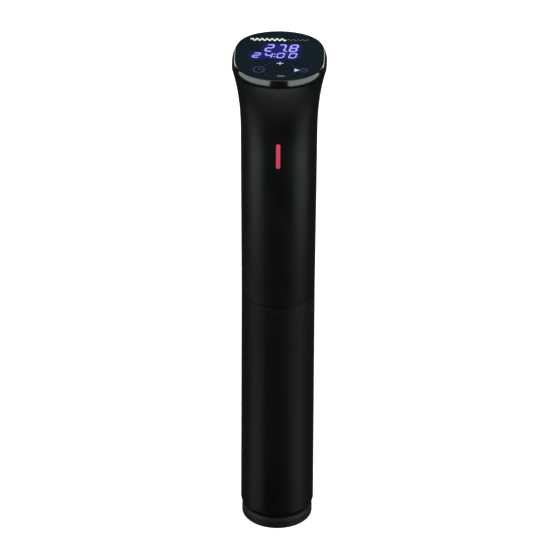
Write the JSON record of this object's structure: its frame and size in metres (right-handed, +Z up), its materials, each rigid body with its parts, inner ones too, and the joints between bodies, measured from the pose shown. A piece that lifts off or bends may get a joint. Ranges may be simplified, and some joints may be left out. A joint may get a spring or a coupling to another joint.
{
  "type": "sous vide circulator",
  "caption": "Slim stick sous vide circulator: round black tube flaring to a rounded-square touch head, with a red light bar, pull-off sleeve and rear pot clip.",
  "frame": {"origin": "centre of the base cap's underside, where the circulator stands", "axes": "+Z up along the tube, -Y the front with the light bar, +Y the back with the pot clip"},
  "size_m": [0.0664, 0.0888, 0.382],
  "materials": {
    "housing_black": "satin moulded black",
    "sleeve_black": "satin black coating on stainless steel",
    "cap_black": "fine matte black",
    "bezel_gloss": "piano black",
    "panel_gloss": "tinted blue-black touch panel",
    "light_bar_red": "diffusing red lens",
    "rubber_black": "matte",
    "silicone_red": "silicone O-ring",
    "stainless_steel": "brushed",
    "zinc_steel": "bright zinc",
    "spring_steel": "polished wire",
    "aluminium_fins": "extruded",
    "circuit_green": "solder mask",
    "component_black": "moulded epoxy",
    "relay_blue": "moulded case",
    "capacitor_sleeve": "shrink sleeve",
    "terminal_green": "moulded",
    "fuse_glass": "ceramic tube",
    "lamination_steel": "stacked laminations",
    "magnet_grey": "sintered",
    "contact_brass": "tinned",
    "ptfe_white": "PTFE",
    "bulkhead_grey": "heat-resistant moulding",
    "chassis_white": "glass-filled nylon",
    "clip_black": "satin moulded black",
    "led_lens": "clear epoxy"
  },
  "bodies": {
    "root": {"upper_housing": "housing_black", "bezel": "bezel_gloss", "touch_panel": "panel_gloss", "panel_gasket": "rubber_black", "display_board": "circuit_green", "display_module": "component_black", "touch_springs": "spring_steel", "buzzer": "component_black", "light_bar_lens": "light_bar_red", "light_bar_board": "circuit_green", "light_bar_leds": "led_lens", "chassis": "chassis_white", "main_board": "circuit_green", "board_screws": "zinc_steel", "transformer": "lamination_steel", "capacitors": "capacitor_sleeve", "relay": "relay_blue", "triac": "component_black", "heat_sink": "aluminium_fins", "fuse": "fuse_glass", "terminal_block": "terminal_green", "cord_gland": "clip_black", "gland_nut": "clip_black", "motor_plate": "stainless_steel", "motor_dampers": "rubber_black", "motor_can": "zinc_steel", "motor_stator": "lamination_steel", "motor_bearings": "zinc_steel", "motor_screws": "zinc_steel", "bulkhead": "bulkhead_grey", "case_screws": "zinc_steel", "heater_plate": "stainless_steel", "heater_element": "stainless_steel", "heater_terminals": "contact_brass", "temperature_probe": "stainless_steel", "level_electrodes": "stainless_steel", "shaft_tube": "stainless_steel", "lower_bush": "ptfe_white", "upper_bearing": "zinc_steel", "shaft_seal": "rubber_black", "sleeve_seal": "silicone_red", "housing_seal": "silicone_red", "thermal_cutout": "component_black", "clip_bracket": "clip_black", "clip_pin": "stainless_steel", "body_pad": "rubber_black", "clip_spring": "spring_steel"},
    "sleeve": {"lower_sleeve": "sleeve_black"},
    "cap": {"base_cap": "cap_black"},
    "rotor": {"motor_rotor": "magnet_grey", "motor_shaft": "stainless_steel", "shaft_coupling": "aluminium_fins", "drive_shaft": "stainless_steel", "impeller": "component_black", "impeller_nut": "stainless_steel"},
    "clip": {"clip_lever": "clip_black", "lever_pad": "rubber_black"}
  },
  "joints": [
    {"name": "sleeve_pull", "type": "slide", "parent": "root", "child": "sleeve", "axis": [0, 0, -1], "range_m": [0, 0.18]},
    {"name": "base_cap_pull", "type": "slide", "parent": "sleeve", "child": "cap", "axis": [0, 0, -1], "range_m": [0, 0.016]},
    {"name": "impeller_spin", "type": "hinge", "parent": "root", "child": "rotor", "pos_m": [0, 0, 0.02], "axis": [0, 0, 1], "continuous": true},
    {"name": "clip_open", "type": "hinge", "parent": "root", "child": "clip", "pos_m": [0, 0.04, 0.268], "axis": [1, 0, 0], "range_deg": [0, 20], "stiffness_Nm_per_rad": 0.3, "springref_deg": -28.65, "deforming": ["clip_spring"]}
  ]
}
